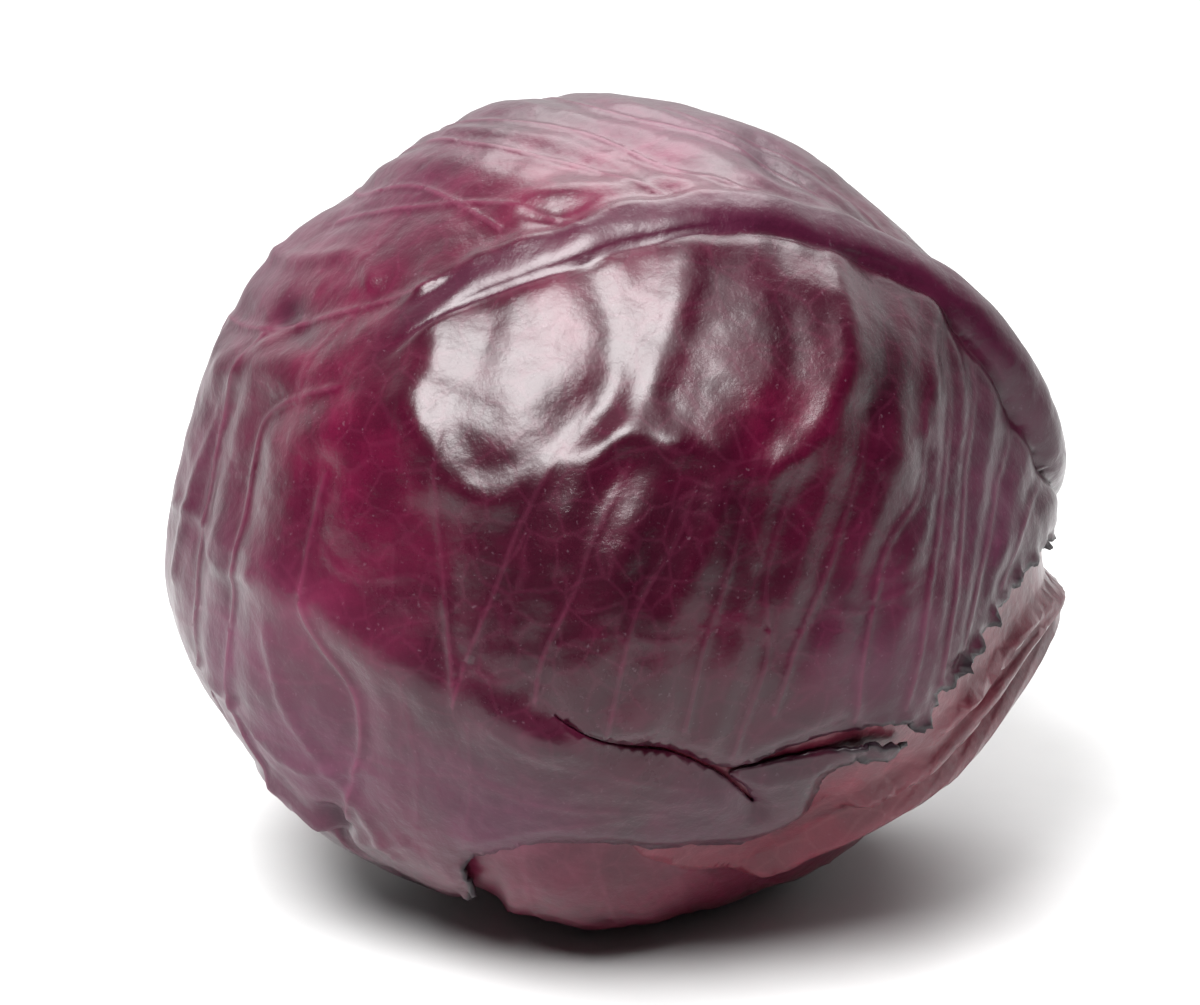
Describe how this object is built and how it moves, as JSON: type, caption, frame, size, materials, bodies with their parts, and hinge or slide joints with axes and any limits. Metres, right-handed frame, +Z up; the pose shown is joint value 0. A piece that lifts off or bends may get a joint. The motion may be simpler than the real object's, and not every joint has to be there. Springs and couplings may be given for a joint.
{
  "type": "cabbage head",
  "caption": "Round head of red cabbage lying on its side, with overlapping wrapper leaves, a raised midrib and a cut stem stump.",
  "frame": {"origin": "on the surface that the head rests on, under the middle of its bounding box", "axes": "+Z up. -Y towards the side with the outer leaf's face and tear. +X towards the side with the stem stump, which also points a little back and down"},
  "size_m": [0.1674, 0.1676, 0.1524],
  "materials": {
    "outer_leaf_skin": "glossy waxy leaf, dark burgundy",
    "under_leaf_skin": "waxy leaf, dusty pink",
    "wrapper_leaf_skin": "waxy leaf, red purple",
    "heart_skin": "waxy leaf, red purple, matt",
    "cut_stem": "cut plant flesh, pale, dry"
  },
  "bodies": {
    "root": {"outer_leaf": "outer_leaf_skin", "under_leaf": "under_leaf_skin", "back_leaf": "wrapper_leaf_skin", "top_leaf": "wrapper_leaf_skin", "low_leaf": "wrapper_leaf_skin", "side_leaf": "wrapper_leaf_skin", "inner_leaf": "wrapper_leaf_skin", "heart": "heart_skin", "stem_stump": "cut_stem"}
  },
  "joints": []
}
